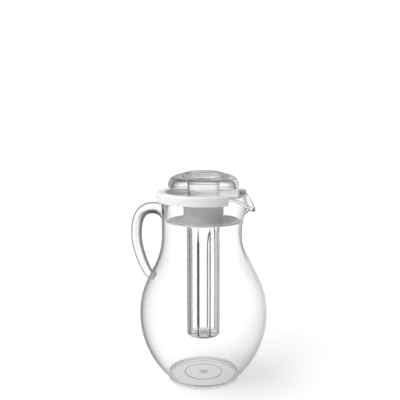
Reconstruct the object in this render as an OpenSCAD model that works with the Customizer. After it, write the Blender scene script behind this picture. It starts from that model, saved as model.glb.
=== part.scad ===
// Round-bellied pitcher with a pouring lid, a strainer and a screw-in tube of ice.
// The origin is the centre of the foot on the table, +Z is up and +X points to the spout.

/* [Jug] */
// Height from the table to the top of the rim
jug_h = 245.5; // [225:0.5:265]
// Outer diameter at the widest place
belly_d = 166; // [150:1:185]
// Height of the widest place
belly_z = 87.5; // [78:0.5:96]
// Outer diameter of the straight neck
neck_d = 108; // [106:0.5:112]
// Height at which the belly has become the straight neck
neck_z = 194; // [184:1:200]
// Thickness of the wall
jug_wall = 2.6; // [2:0.1:3]
// Diameter of the rolled bead along the rim
bead_d = 4.8; // [4.2:0.1:5.4]
// How far the bead stands out of the neck
bead_out = 4; // [3.4:0.1:4.4]
// Outer diameter of the ring it stands on
foot_d = 92; // [84:1:98]
// Height of the foot ring, up to the groove where the belly starts
foot_h = 7.5; // [6:0.5:9]
// Width of the foot ring on the table
foot_w = 3.4; // [2.6:0.2:5]
// Depth of the hollow under the floor
foot_hollow = 3; // [2:0.2:4]
// Thickness of the floor
floor_t = 3.6; // [3:0.1:5]
// Diameter of the shallow disc sunk into the underside
base_disc_d = 49; // [30:1:60]
// Depth of that disc
base_disc_t = 0.6; // [0.3:0.1:1]
// Diameter of the low boss in its middle
base_boss_d = 11; // [6:0.5:16]

/* [Spout] */
// Reach of the spout's lip from the axis, over the bead
spout_reach = 69; // [66:0.5:76]
// Radius of the tip in plan, along the bead's middle
spout_tip_r = 6; // [4:0.5:9]
// How far the tip droops below the rim
spout_drop = 16; // [8:0.5:18]
// Height of neck wall that is drawn out into the lip
spout_depth = 32; // [26:1:40]
// Depth of the dents that pinch the throat
pinch_depth = 5.6; // [0:0.1:5.7]
// Angle of each dent from the middle of the spout
pinch_angle = 20; // [16:1:28]
// How far the middle of the dents lies below the rim
pinch_drop = 50; // [46:1:56]

/* [Handle] */
// Reach of the bar's middle line from the outside of the neck
handle_reach = 41.8; // [36:0.2:50]
// Height of the upper root's middle line
handle_top_z = 221; // [212:0.5:226]
// Height between the two roots
handle_span = 91.5; // [85:0.5:98]
// Thickness of the bar beside its upper root
handle_d = 15.6; // [12:0.2:17]
// Thickness at the lower end
handle_end_d = 10.2; // [9:0.2:13]
// Reach of the flared pad below the middle line of the upper root
pad_drop = 17.3; // [12:0.1:19]
// Reach of the pad above that line
pad_rise = 9; // [8:0.1:11]
// Width of that pad
pad_w = 24; // [17:0.5:27]

/* [Lid] */
// Thickness of the lid's skirt and of the wall that plugs the neck
lid_wall = 2; // [1.6:0.1:2.4]
// Thickness of the roof that rests over the bead
lid_roof = 2.2; // [1.8:0.1:2.6]
// Height of the skirt, from the lid's top
lid_skirt_h = 12; // [10:0.5:14]
// Depth of the dish
dish_depth = 10; // [8:0.5:11]
// Thickness of the dish's floor
dish_floor = 2; // [1.6:0.1:2.6]
// Half of the angle that is cut out for the spout
notch_half = 40; // [36:1:44]
// Width of the floor that is left round the collar
notch_ledge = 5; // [3.6:0.2:7]
// Radius of the notch's inner corners
notch_corner_r = 3; // [1.5:0.25:4]
// Clearance between the skirt and the bead
skirt_gap = 0.4; // [0.3:0.05:0.7]
// Clearance between the plug wall and the neck
plug_gap = 0.7; // [0.5:0.05:1]
// Clearance between the roof and the bead's top
seat_gap = 0.2; // [0.15:0.05:0.3]

/* [Collar] */
// Outer diameter of the threaded collar
collar_d = 51.9; // [50.5:0.1:54]
// Length of the collar, from the top of the dish's floor
collar_l = 28.7; // [27:0.1:31]
// Length of the wide part, above the strainer's hub
collar_wide_l = 18; // [16:0.2:19]
// How far the strainer's spigot is stepped in
spigot_step = 1.9; // [1.6:0.05:2.1]
// Thickness of the spigot's wall
spigot_wall = 1.9; // [1.6:0.05:2.1]

/* [Thread] */
// Rise of the thread for one turn
thread_pitch = 5.3; // [5:0.1:6]
// Height of a ridge
thread_h = 1.3; // [1.1:0.05:1.4]
// Width of a ridge at its root
thread_root_w = 2.4; // [2:0.1:2.5]
// Width of a ridge along its crest
thread_crest_w = 1.2; // [0.8:0.1:1.4]
// Clearance between a crest and the root it faces
thread_gap = 0.3; // [0.25:0.05:0.4]
// Clearance between the two flanks that carry the load
flank_gap = 0.3; // [0.25:0.05:0.5]

/* [Strainer] */
// Clearance between the strainer's disc and the dents of the throat
strainer_gap = 0.25; // [0.2:0.05:3]
// Thickness of the disc
strainer_t = 1.4; // [1.2:0.1:3]
// Holes in each of the two rings
hole_count = 24; // [16:1:26]
// From the disc's edge to the middle of the outer holes
hole_margin = 6.2; // [5.6:0.1:7.4]
// Length of an outer hole
outer_hole_l = 6.4; // [4.5:0.1:6.8]
// Width of an outer hole
outer_hole_w = 3.6; // [2.4:0.1:3.8]
// Slant of the outer holes from the radius
outer_hole_slant = 38; // [0:1:60]
// From the outer ring of holes to the inner one
hole_spacing = 6.8; // [6.4:0.1:7.2]
// Length of an inner hole
inner_hole_l = 4.2; // [3:0.1:4.6]
// Width of an inner hole
inner_hole_w = 2.8; // [2:0.1:3]
// Height of the ring that snaps the hub onto the spigot
snap_h = 0.4; // [0.3:0.05:0.5]

/* [Knob] */
// Greatest diameter of the knob's cap
knob_d = 91; // [84:0.5:96]
// Height of the cap
knob_h = 21.5; // [20:0.5:25]
// Thickness of the cap's shell
knob_wall = 3.6; // [3:0.1:4.4]
// Diameter of the dimple in the cap's top
dimple_d = 36; // [33:0.5:37.5]
// Depth of the dimple
dimple_depth = 8; // [6:0.25:9]
// Thickness of the web under the dimple
dimple_web = 2.4; // [2:0.1:3]
// Space for the fingers between the cap and the dish's floor
knob_rise = 14; // [12:0.5:17]
// Length of the threaded part of the stem
knob_thread_l = 15; // [12:0.5:15.4]

/* [Ice tube] */
// Outer diameter over the lobes
core_d = 43; // [42.2:0.1:43.6]
// Length of the lobed body
core_l = 150; // [130:1:156]
// Number of lobes round the body
lobes = 8; // [6:1:10]
// Radius of one lobe
lobe_r = 11; // [10:0.25:13]
// Thickness of the tube's wall
core_wall = 2; // [1.6:0.1:2.4]
// Thickness of its closed bottom
core_bottom = 2.6; // [2:0.1:4]
// Bevel round the bottom edge
core_bevel = 1.5; // [0.8:0.1:2]
// Length of the threaded neck
core_neck_l = 12; // [11:0.25:12.5]

/* [Seals] */
// Thickness of the flat ring between the stem and the tube's mouth
knob_seal_t = 1.4; // [1:0.1:2]
// Length of that ring's sleeve inside the stem
knob_seal_sleeve = 4; // [2.5:0.25:5]
// Thickness of that sleeve
sleeve_t = 1; // [0.8:0.1:1.2]
// Thickness of the flat ring on the tube's shoulder
core_seal_t = 1.2; // [0.8:0.1:1.6]
// Outer diameter of that ring
core_seal_d = 46.6; // [45.4:0.1:48]
// Running clearance of both rings
seal_gap = 0.1; // [0.05:0.01:0.1]
// Clearance between the stem's ring and the tube's mouth
mouth_gap = 0.3; // [0.2:0.05:0.5]

/* [Hidden] */
$fn = 96;
clear_plastic = [0.86, 0.9, 0.92, 0.45];
white_plastic = [0.95, 0.95, 0.94];
seal_silicone = [0.88, 0.88, 0.86];
// One overrun for every cut
over = 1;
// How deep one solid is rooted in another that it is part of
root = 0.6;
// Small bevel on edges
edge = 0.5;

// Radii
belly_r = belly_d / 2;
neck_r = neck_d / 2;
bead_r = bead_d / 2;
rim_r = neck_r + bead_out;
// Circle and height of the bead's middle line
bead_ring = rim_r - bead_r;
bead_z = jug_h - bead_r;
foot_r = foot_d / 2;
foot_top_r = foot_r + foot_w + edge;
bore_r = neck_r - jug_wall;
floor_z = foot_hollow + floor_t;

// Seats of the lid, from the rim up and down
roof_z = jug_h + seat_gap;
lid_z = roof_z + lid_roof;
skirt_z = lid_z - lid_skirt_h;
dish_z = lid_z - dish_depth;
skirt_r = rim_r + skirt_gap + lid_wall;
plug_r = bore_r - plug_gap;
collar_r = collar_d / 2;
collar_z = dish_z - collar_l;
step_z = dish_z - collar_wide_l;
spigot_r = collar_r - spigot_step;

// The thread's four radii, from the wall of the collar inwards
collar_bore_r = spigot_r - spigot_wall;
rib_crest_r = collar_bore_r - thread_h;
stem_r = rib_crest_r - thread_gap;
ridge_crest_r = stem_r + thread_h;
thread_steps = 36;
// Middle of the collar's rib at azimuth 0, and its length
rib_z = collar_z + thread_pitch / 2;
rib_turns = (collar_l - thread_pitch) / thread_pitch;
// Free width between two flanks half way up, less the gap that the load leaves
ridge_mid_w = (thread_root_w + thread_crest_w) / 2;
flank_play = (thread_pitch - ridge_mid_w - ridge_mid_w) / 2 - flank_gap;

// Heights of the knob and the tube in the collar
shoulder_z = collar_z - core_seal_t;
mouth_z = shoulder_z + core_neck_l;
knob_seal_z = mouth_z + mouth_gap;
stem_z = knob_seal_z + knob_seal_t;
cap_z = dish_z + knob_rise;
core_z = shoulder_z - core_l;
stem_bore_r = stem_r - core_wall;

// Plan of the rim: a circle, a straight edge on each side and a round tip
tip_x = spout_reach - bead_r - spout_tip_r;
spout_half = acos((bead_ring - spout_tip_r) / tip_x);
tip_half = atan2(spout_tip_r * sin(spout_half), tip_x + spout_tip_r * cos(spout_half));
function tip_ray(a) = tip_x * cos(a) + sqrt(pow(spout_tip_r, 2) - pow(tip_x * sin(a), 2));
function edge_ray(a) = bead_ring / cos(spout_half - a);
function rim_ray(a) = a >= spout_half ? bead_ring : a <= tip_half ? tip_ray(a) : edge_ray(a);

// A smooth hump from 1 in the middle to 0 at both ends
function hump(x) = abs(x) >= 1 ? 0 : pow(cos(90 * x), 2);
pinch_half_angle = 36;
pinch_half_drop = 42;
lip_power = 3;
droop_power = 1.5;

// The neck's wall at azimuth a and height z, drawn out towards the lip and pinched beside it
function share_down(z) = min(1, max(0, (bead_z - z) / spout_depth));
function lip(a, z) = (rim_ray(abs(a)) - bead_ring) * pow(1 - share_down(z), lip_power);
function droop_share(a) = abs(a) >= spout_half ? 0 : pow(1 - abs(a) / spout_half, droop_power);
function droop(a, z) = spout_drop * droop_share(a) * (1 - share_down(z));
function pinch(a, z) = pinch_depth * hump((abs(a) - pinch_angle) / pinch_half_angle)
    * hump((bead_z - z - pinch_drop) / pinch_half_drop);
function polar(r, a, z) = [r * cos(a), r * sin(a), z];
function wall_point(a, r, z) = polar(r + lip(a, z) - pinch(a, z), a, z - droop(a, z));

// The inside of the wall lies one wall thickness along the normal of the drawn outside
step_a = 1;
step_h = 0.4;
function unit(v) = v / norm(v);
function wall_normal(a, z) = unit(cross(
    wall_point(a + step_a, neck_r, z) - wall_point(a - step_a, neck_r, z),
    wall_point(a, neck_r, z + step_h) - wall_point(a, neck_r, z - step_h)));
function inner_point(a, z) = wall_point(a, neck_r, z) - jug_wall * wall_normal(a, z);

// The belly: one curve up from the foot and one on to the neck, with its control points
function bezier(p, t) = pow(1 - t, 3) * p[0] + 3 * pow(1 - t, 2) * t * p[1]
    + 3 * (1 - t) * pow(t, 2) * p[2] + pow(t, 3) * p[3];
function bezier_way(p, t) = pow(1 - t, 2) * (p[1] - p[0]) + 2 * (1 - t) * t * (p[2] - p[1])
    + pow(t, 2) * (p[3] - p[2]);
function inward(p, t) = let (w = unit(bezier_way(p, t))) bezier(p, t) - jug_wall * [w[1], -w[0]];
low_out_share = 0.62;
low_up_share = 0.27;
low_pull_share = 0.38;
belly_pull_share = 0.48;
neck_pull_share = 0.47;
low_rise = belly_z - foot_h;
high_rise = neck_z - belly_z;
low_curve = [
    [foot_top_r, foot_h],
    [foot_top_r + (belly_r - foot_top_r) * low_out_share, foot_h + low_rise * low_up_share],
    [belly_r, belly_z - low_rise * low_pull_share],
    [belly_r, belly_z]];
high_curve = [
    [belly_r, belly_z],
    [belly_r, belly_z + high_rise * belly_pull_share],
    [neck_r, neck_z - high_rise * neck_pull_share],
    [neck_r, neck_z]];
low_shares = [0, 0.09, 0.18, 0.28, 0.39, 0.51, 0.63, 0.75, 0.87];
high_shares = [0, 0.11, 0.22, 0.32, 0.42, 0.52, 0.62, 0.72, 0.81, 0.9];
neck_shares = [0, 0.25, 0.42, 0.55, 0.66, 0.76, 0.85, 0.93];
neck_rise = bead_z - bead_r - neck_z;
function neck_height(s) = neck_z + neck_rise * s;

// Round the rim's bead, from the outside of the wall over the top to the inside
bead_turns = [for (b = [-100 : 38 : 166]) b];
function bead_point(a, b) = wall_point(a, bead_ring, bead_z)
    + polar(bead_r * cos(b), a, bead_r * sin(b));

// Azimuths, closer together round the spout and closest at its tip
tip_zone = 9;
tip_step = 1.5;
spout_zone = 45;
spout_step = 3;
body_step = 9;
azimuths = concat(
    [for (a = [-tip_zone : tip_step : tip_zone]) a],
    [for (a = [tip_zone + spout_step : spout_step : spout_zone]) a],
    [for (a = [spout_zone + body_step : body_step : 360 - spout_zone]) a],
    [for (a = [360 - spout_zone + spout_step : spout_step : 360 - tip_zone - spout_step]) a]);
function turn(r, z) = [for (a = azimuths) polar(r, a, z)];
function signed(a) = a > 180 ? a - 360 : a;
function wall_turn(q) = [for (a = azimuths) wall_point(signed(a), q[0], q[1])];

// All rings of the jug, from under the floor, up the outside, over the rim and down the inside
hollow_r = foot_r - foot_w;
jug_rings = concat(
    [turn(hollow_r - edge, foot_hollow), turn(hollow_r, 0)],
    [turn(foot_r - edge, 0), turn(foot_r, edge), turn(foot_top_r, foot_h - edge - edge)],
    [for (t = low_shares) turn(bezier(low_curve, t)[0], bezier(low_curve, t)[1])],
    [for (t = high_shares) wall_turn(bezier(high_curve, t))],
    [for (s = neck_shares) wall_turn([neck_r, neck_height(s)])],
    [for (b = bead_turns) [for (a = azimuths) bead_point(signed(a), b)]],
    [for (i = [1 : len(neck_shares)]) let (s = neck_shares[len(neck_shares) - i])
        [for (a = azimuths) inner_point(signed(a), neck_height(s))]],
    [for (i = [1 : len(high_shares) - 1])
        wall_turn(inward(high_curve, high_shares[len(high_shares) - i]))],
    [for (i = [1 : len(low_shares) - 1]) let (q = inward(low_curve, low_shares[len(low_shares) - i]))
        if (q[1] > floor_z + edge) turn(q[0], q[1])],
    [turn(foot_r, floor_z)]);

// Closes a stack of rings into one solid
module ring_solid(rings) {
    n = len(rings[0]);
    last = len(rings) - 1;
    points = [for (ring = rings) each ring];
    sides = [for (k = [0 : last - 1]) for (i = [0 : n - 1]) let (
        j = (i + 1) % n, a = k * n + i, b = k * n + j, c = b + n, d = a + n)
        each [[a, d, c], [a, c, b]]];
    ends = [[for (i = [0 : n - 1]) i], [for (i = [0 : n - 1]) last * n + n - 1 - i]];
    polyhedron(points, concat(sides, ends), convexity = 10);
}

module jug_body() {
    color(clear_plastic)
        difference() {
            ring_solid(jug_rings);
            difference() {
                translate([0, 0, foot_hollow - over])
                    cylinder(h = over + base_disc_t, r = base_disc_d / 2);
                translate([0, 0, foot_hollow])
                    cylinder(h = over, r = base_boss_d / 2);
            }
        }
}

// The handle's middle line, as shares of its reach and its span, from the upper root down
handle_bend_shares = [[0, 0], [0.72, 0.075], [1, -0.06], [1, -0.385]];
handle_grip_shares = [[1, -0.385], [1, -0.58], [0.8, -0.8], [0.62, -0.93]];
handle_foot_shares = [[0.62, -0.93], [0.555, -0.975], [0.48, -1], [0.33, -1.01]];
function handle_points(shares) = [for (s = shares) [
    -neck_r - handle_reach * s[0], handle_top_z + handle_span * s[1]]];
bend_steps = 10;
bend_power = 1.6;
grip_steps = 8;
foot_steps = 5;
handle_line = concat(
    [for (i = [0 : bend_steps - 1])
        bezier(handle_points(handle_bend_shares), pow(i / bend_steps, bend_power))],
    [for (i = [0 : grip_steps - 1]) bezier(handle_points(handle_grip_shares), i / grip_steps)],
    [for (i = [0 : foot_steps]) bezier(handle_points(handle_foot_shares), i / foot_steps)]);
handle_last = len(handle_line) - 1;
// The bar thins out along its line and swells into the pad over its first rings
pad_steps = 4;
pad_power = 2.5;
function mix(a, b, t) = a + (b - a) * t;
function pad_share(i) = i >= pad_steps ? 0 : pow(1 - i / pad_steps, pad_power);
function bar_half(i) = mix(handle_d, handle_end_d, pow(i / handle_last, 2)) / 2;
function swell(i, to) = mix(bar_half(i), to, pad_share(i));
bar_sides = 14;
function line_way(i) = unit(handle_line[min(i + 1, handle_last)] - handle_line[max(i - 1, 0)]);
function bar_ring(i) = let (w = line_way(i), c = handle_line[i]) [
    for (j = [0 : bar_sides - 1]) let (
        b = 360 * j / bar_sides,
        up = swell(i, cos(b) > 0 ? pad_rise : pad_drop) * cos(b),
        side = swell(i, pad_w / 2) * sin(b))
        [c[0] + w[1] * up, side, c[1] - w[0] * up]];
// The pad runs on into the wall, so that the wall's own surface cuts its whole face
pad_overrun = 8;

module jug_handle() {
    color(clear_plastic)
        difference() {
            ring_solid(concat(
                [[for (p = bar_ring(0)) p + [pad_overrun, 0, 0]]],
                [for (i = [0 : handle_last]) bar_ring(i)]));
            jug_outside();
        }
}

// The space that the jug's wall fills beside the handle, which both roots are bonded to
module jug_outside() {
    rotate_extrude()
        polygon(concat(
            [[0, foot_h]],
            [for (t = low_shares) bezier(low_curve, t)],
            [for (t = high_shares) bezier(high_curve, t)],
            [[neck_r, neck_z], [neck_r, jug_h], [0, jug_h]]));
}

// Points of an arc from angle a to angle b
function arc(centre, r, a, b, n = 6) = [for (i = [0 : n]) let (c = mix(a, b, i / n))
    centre + r * [cos(c), sin(c)]];

// A ridge that winds right-handed round the axis, rooted at root_r and thinning out at both ends
fade_turns = 0.15;
module helix_ridge(root_r, crest_r, z, turns) {
    steps = ceil(turns * thread_steps);
    way = sign(crest_r - root_r);
    function full(i) = min(1, i / steps * turns / fade_turns, (1 - i / steps) * turns / fade_turns);
    function ridge(i) = let (
        a = i / steps * turns * 360,
        h = z + i / steps * turns * thread_pitch,
        deep = root_r - way * root,
        tall = mix(root_r - way * root / 2, crest_r, full(i)))
        [polar(deep, a, h - thread_root_w / 2), polar(tall, a, h - thread_crest_w / 2),
            polar(tall, a, h + thread_crest_w / 2), polar(deep, a, h + thread_root_w / 2)];
    rings = [for (i = [0 : steps]) ridge(i)];
    if (way > 0)
        ring_solid([for (i = [0 : steps]) rings[steps - i]]);
    else
        ring_solid(rings);
}

module lid() {
    roof_r = lid_wall;
    dish_r = plug_r - lid_wall;
    color(white_plastic) {
        difference() {
            rotate_extrude()
                polygon(concat(
                    [[collar_bore_r, collar_z], [collar_bore_r, dish_z]],
                    arc([dish_r - roof_r, dish_z + roof_r], roof_r, -90, 0),
                    arc([dish_r + roof_r, lid_z - roof_r], roof_r, 180, 90),
                    arc([skirt_r - roof_r, lid_z - roof_r], roof_r, 90, 0),
                    [[skirt_r, skirt_z], [skirt_r - lid_wall, skirt_z]],
                    [[skirt_r - lid_wall, roof_z], [plug_r, roof_z]],
                    [[plug_r, dish_z - dish_floor], [collar_r, dish_z - dish_floor]],
                    [[collar_r, step_z], [spigot_r, step_z]],
                    [[spigot_r, snap_z + snap_h], [spigot_r + snap_h, snap_z], [spigot_r, snap_z - snap_h]],
                    [[spigot_r, collar_z]]));
            notch();
        }
        helix_ridge(collar_bore_r, rib_crest_r, rib_z, rib_turns);
    }
}

// The opening in the lid over the spout
notch_r = collar_r + notch_ledge;
notch_side = asin(notch_corner_r / (notch_r + notch_corner_r));
notch_steps = 6;
module notch() {
    far = skirt_r + skirt_r;
    bend = notch_half - notch_side;
    corner = (notch_r + notch_corner_r) * [cos(bend), sin(bend)];
    half = concat(
        arc([0, 0], notch_r, 0, bend, notch_steps),
        arc(corner, notch_corner_r, bend + 180, notch_half + 90),
        [far * [cos(notch_half), sin(notch_half)]]);
    other = [for (i = [1 : len(half) - 1]) let (p = half[len(half) - i]) [p[0], -p[1]]];
    translate([0, 0, skirt_z - over])
        linear_extrude(lid_skirt_h + over + over)
            polygon(concat(half, other));
}

// The strainer's disc fills the throat between the dents, less its clearance
throat_r = bore_r - max(pinch(pinch_angle, collar_z), pinch(pinch_angle, collar_z + strainer_t));
strainer_r = throat_r - strainer_gap;
outer_hole_ring = strainer_r - hole_margin;
inner_hole_ring = outer_hole_ring - hole_spacing;
snap_z = (step_z + collar_z) / 2;
hub_gap = 0.05;
hub_flare = 5;
module strainer() {
    hub_r = spigot_r + hub_gap;
    disc_top = collar_z + strainer_t;
    color(white_plastic)
        difference() {
            rotate_extrude()
                polygon(concat(
                    [[hub_r, collar_z], [hub_r, snap_z - snap_h], [hub_r + snap_h, snap_z]],
                    [[hub_r, snap_z + snap_h], [hub_r, step_z], [collar_r, step_z]],
                    arc([collar_r + hub_flare, disc_top + hub_flare], hub_flare, 180, 270),
                    [[strainer_r - edge, disc_top], [strainer_r, disc_top - edge]],
                    [[strainer_r, collar_z + edge], [strainer_r - edge, collar_z]]));
            hole_ring(outer_hole_ring, outer_hole_l, outer_hole_w, outer_hole_slant, 0);
            hole_ring(inner_hole_ring, inner_hole_l, inner_hole_w, 0, 0.5);
        }
}

// A ring of oval holes through the strainer's disc
oval_points = 14;
module hole_ring(ring_r, long, wide, slant, shift_share) {
    for (i = [0 : hole_count - 1])
        rotate([0, 0, 360 * (i + shift_share) / hole_count])
            translate([ring_r, 0, collar_z - over])
                rotate([0, 0, slant])
                    linear_extrude(strainer_t + over + over)
                        polygon([for (j = [0 : oval_points - 1]) let (b = 360 * j / oval_points)
                            [long / 2 * cos(b), wide / 2 * sin(b)]]);
}

// Outline of the cap's outside, as shares of its radius and height, from the bottom edge to the top
cap_shares = [[0.968, 0], [0.99, 0.1], [1, 0.24], [0.992, 0.37], [0.965, 0.5],
    [0.92, 0.62], [0.86, 0.715], [0.78, 0.79], [0.66, 0.87], [0.52, 0.945], [0.45, 0.985]];
cap_crest_share = 0.43;
// The shell follows those points inside, up to the one where its hollow starts to close
hollow_points = 6;
module knob() {
    top = cap_z + knob_h;
    cap_r = knob_d / 2;
    dimple_r = dimple_d / 2;
    dimple_z = top - dimple_depth;
    bore_top = dimple_z - dimple_web;
    function outer(s) = [cap_r * s[0], cap_z + knob_h * s[1]];
    function inner(s) = [cap_r * s[0] - knob_wall, cap_z + (knob_h - knob_wall) * s[1]];
    hollow_z = inner(cap_shares[hollow_points])[1];
    color(clear_plastic) {
        rotate_extrude()
            polygon(concat(
                [[0, bore_top]],
                arc([stem_bore_r - knob_wall, bore_top - knob_wall], knob_wall, 90, 0),
                [[stem_bore_r, stem_z], [stem_r, stem_z]],
                arc([stem_r + knob_wall, hollow_z - knob_wall], knob_wall, 180, 90),
                [for (i = [0 : hollow_points]) inner(cap_shares[hollow_points - i])],
                [for (s = cap_shares) outer(s)],
                [[cap_r * cap_crest_share, top]],
                arc([dimple_r - knob_wall, dimple_z + knob_wall], knob_wall, 0, -90),
                [[0, dimple_z]]));
        helix_ridge(stem_r, ridge_crest_r, knob_ridge_z, knob_turns);
    }
}

// The ridges lie in the groove of the collar's rib, against the flank that carries their load
function groove_above(z) = rib_z + thread_pitch * (ceil((z - rib_z) / thread_pitch) + 0.5);
knob_ridge_z = groove_above(stem_z) + flank_play;
knob_turns = (stem_z + knob_thread_l - knob_ridge_z) / thread_pitch;
core_ridge_z = groove_above(shoulder_z) - flank_play;
core_turns = (mouth_z - thread_root_w / 2 - core_ridge_z) / thread_pitch;

module knob_seal() {
    sleeve_r = stem_bore_r - seal_gap;
    color(seal_silicone)
        rotate_extrude()
            polygon([[sleeve_r - sleeve_t, knob_seal_z], [stem_r - seal_gap, knob_seal_z],
                [stem_r - seal_gap, stem_z], [sleeve_r, stem_z],
                [sleeve_r, stem_z + knob_seal_sleeve], [sleeve_r - sleeve_t, stem_z + knob_seal_sleeve]]);
}

// Cross-section of the tube: lobes round the axis, drawn in by a wall or more
module lobed(inset) {
    union() {
        circle(core_d / 2 - lobe_r);
        for (i = [0 : lobes - 1])
            rotate([0, 0, 360 * (i + 0.5) / lobes])
                translate([core_d / 2 - lobe_r, 0])
                    circle(lobe_r - inset);
    }
}

module ice_tube() {
    core_r = core_d / 2;
    color(clear_plastic) {
        difference() {
            union() {
                intersection() {
                    translate([0, 0, core_z])
                        linear_extrude(core_l)
                            lobed(0);
                    rotate_extrude()
                        polygon([
                            [0, core_z], [core_r - core_bevel, core_z], [core_r, core_z + core_bevel],
                            [core_r, shoulder_z - edge], [core_r - edge, shoulder_z], [0, shoulder_z]]);
                }
                translate([0, 0, shoulder_z - over])
                    cylinder(h = core_neck_l + over, r = stem_r);
            }
            translate([0, 0, core_z + core_bottom])
                linear_extrude(core_l - core_bottom - core_wall)
                    lobed(core_wall);
            translate([0, 0, shoulder_z - core_wall - over])
                cylinder(h = core_neck_l + core_wall + over + over, r = stem_bore_r);
        }
        helix_ridge(stem_r, ridge_crest_r, core_ridge_z, core_turns);
    }
}

module ice_tube_seal() {
    color(seal_silicone)
        translate([0, 0, shoulder_z])
            difference() {
                cylinder(h = core_seal_t, r = core_seal_d / 2);
                translate([0, 0, -over])
                    cylinder(h = core_seal_t + over + over, r = stem_r + seal_gap);
            }
}

jug_body();
jug_handle();
lid();
strainer();
knob();
knob_seal();
ice_tube();
ice_tube_seal();
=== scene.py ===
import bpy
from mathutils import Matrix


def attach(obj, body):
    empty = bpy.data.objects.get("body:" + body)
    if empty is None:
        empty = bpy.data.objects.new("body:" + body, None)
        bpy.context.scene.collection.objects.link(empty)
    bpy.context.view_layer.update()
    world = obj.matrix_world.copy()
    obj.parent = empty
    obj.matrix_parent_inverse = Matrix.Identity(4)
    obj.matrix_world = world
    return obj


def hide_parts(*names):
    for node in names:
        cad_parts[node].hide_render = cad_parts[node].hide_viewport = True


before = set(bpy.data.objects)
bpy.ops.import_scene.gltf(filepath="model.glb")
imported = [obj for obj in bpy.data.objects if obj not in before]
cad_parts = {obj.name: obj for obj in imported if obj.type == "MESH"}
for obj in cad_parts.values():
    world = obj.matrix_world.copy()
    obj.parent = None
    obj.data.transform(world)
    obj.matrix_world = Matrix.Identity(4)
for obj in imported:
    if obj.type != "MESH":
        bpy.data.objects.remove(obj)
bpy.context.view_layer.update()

from math import acos, asin, atan2, cos, degrees, pi, radians, sin, sqrt, tan

import bmesh
import bpy
import numpy as np
from mathutils import Vector

# Every size below is in millimetres, as in the part's source, and meshes are made in metres
MM = 0.001

# Jug
jug_h = 245.5
belly_d = 166
belly_z = 87.5
neck_d = 108
neck_z = 194
jug_wall = 2.6
bead_d = 4.8
bead_out = 4
foot_d = 92
foot_h = 7.5
foot_w = 3.4
foot_hollow = 3
floor_t = 3.6
base_disc_d = 49
base_disc_t = 0.6
base_boss_d = 11
spout_reach = 69
spout_tip_r = 6
spout_drop = 16
spout_depth = 32
pinch_depth = 5.6
pinch_angle = 20
pinch_drop = 50
pinch_half_angle = 36
pinch_half_drop = 42
low_out_share = 0.62
low_up_share = 0.27
low_pull_share = 0.38
belly_pull_share = 0.48
neck_pull_share = 0.47
lip_power = 3
droop_power = 1.5
edge = 0.5

# Handle
handle_reach = 41.8
handle_top_z = 221
handle_span = 91.5
handle_d = 15.6
handle_end_d = 10.2
pad_drop = 17.3
pad_rise = 9
pad_w = 24

# Lid and collar
lid_wall = 2
lid_roof = 2.2
lid_skirt_h = 12
dish_depth = 10
dish_floor = 2
notch_half = 40
notch_ledge = 5
notch_corner_r = 3
skirt_gap = 0.4
plug_gap = 0.7
seat_gap = 0.2
collar_d = 51.9
collar_l = 28.7
collar_wide_l = 18
spigot_step = 1.9
spigot_wall = 1.9

# Thread
thread_pitch = 5.3
thread_h = 1.3
thread_root_w = 2.4
thread_crest_w = 1.2
thread_gap = 0.3
flank_gap = 0.3
fade_turns = 0.15

# Strainer
strainer_gap = 0.25
strainer_t = 1.4
hole_count = 24
hole_margin = 6.2
outer_hole_l = 6.4
outer_hole_w = 3.6
outer_hole_slant = 38
hole_spacing = 6.8
inner_hole_l = 4.2
inner_hole_w = 2.8
hole_bevel = 0.3
hub_gap = 0.05
hub_flare = 5

# Knob
knob_d = 91
knob_h = 21.5
knob_wall = 3.6
dimple_d = 36
dimple_depth = 8
dimple_web = 2.4
knob_rise = 14
knob_thread_l = 15

# Ice tube and seals
core_d = 43
core_l = 150
lobes = 8
lobe_r = 11
core_wall = 2
core_bottom = 2.6
core_bevel = 1.5
core_neck_l = 12
knob_seal_t = 1.4
knob_seal_sleeve = 4
sleeve_t = 1
core_seal_t = 1.2
core_seal_d = 46.6
seal_gap = 0.1
mouth_gap = 0.3

# Sizes that follow from those above
belly_r = belly_d / 2
neck_r = neck_d / 2
bead_r = bead_d / 2
rim_r = neck_r + bead_out
bead_ring = rim_r - bead_r
bead_z = jug_h - bead_r
foot_r = foot_d / 2
foot_top_r = foot_r + foot_w + edge
bore_r = neck_r - jug_wall
floor_z = foot_hollow + floor_t
roof_z = jug_h + seat_gap
lid_z = roof_z + lid_roof
skirt_z = lid_z - lid_skirt_h
dish_z = lid_z - dish_depth
skirt_r = rim_r + skirt_gap + lid_wall
plug_r = bore_r - plug_gap
collar_r = collar_d / 2
collar_z = dish_z - collar_l
step_z = dish_z - collar_wide_l
spigot_r = collar_r - spigot_step
collar_bore_r = spigot_r - spigot_wall
rib_crest_r = collar_bore_r - thread_h
stem_r = rib_crest_r - thread_gap
rib_z = collar_z + thread_pitch / 2
rib_turns = (collar_l - thread_pitch) / thread_pitch
flank_play = (thread_pitch - thread_root_w - thread_crest_w) / 2 - flank_gap
shoulder_z = collar_z - core_seal_t
mouth_z = shoulder_z + core_neck_l
knob_seal_z = mouth_z + mouth_gap
stem_z = knob_seal_z + knob_seal_t
cap_z = dish_z + knob_rise
core_z = shoulder_z - core_l
stem_bore_r = stem_r - core_wall


# Meshes

sharp_angle = 34
weld_gap = 0.0001
turn_steps = 192
seal_steps = 128


def smooth(mesh):
    """Shades a mesh smooth, with edges kept sharp only where faces meet at a real corner."""
    for polygon in mesh.polygons:
        polygon.use_smooth = True
    mesh.set_sharp_from_angle(angle=radians(sharp_angle))


def new_object(name, mesh):
    """A piece for a mesh, in the scene."""
    smooth(mesh)
    piece = bpy.data.objects.new(name, mesh)
    bpy.context.scene.collection.objects.link(piece)
    return piece


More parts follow.
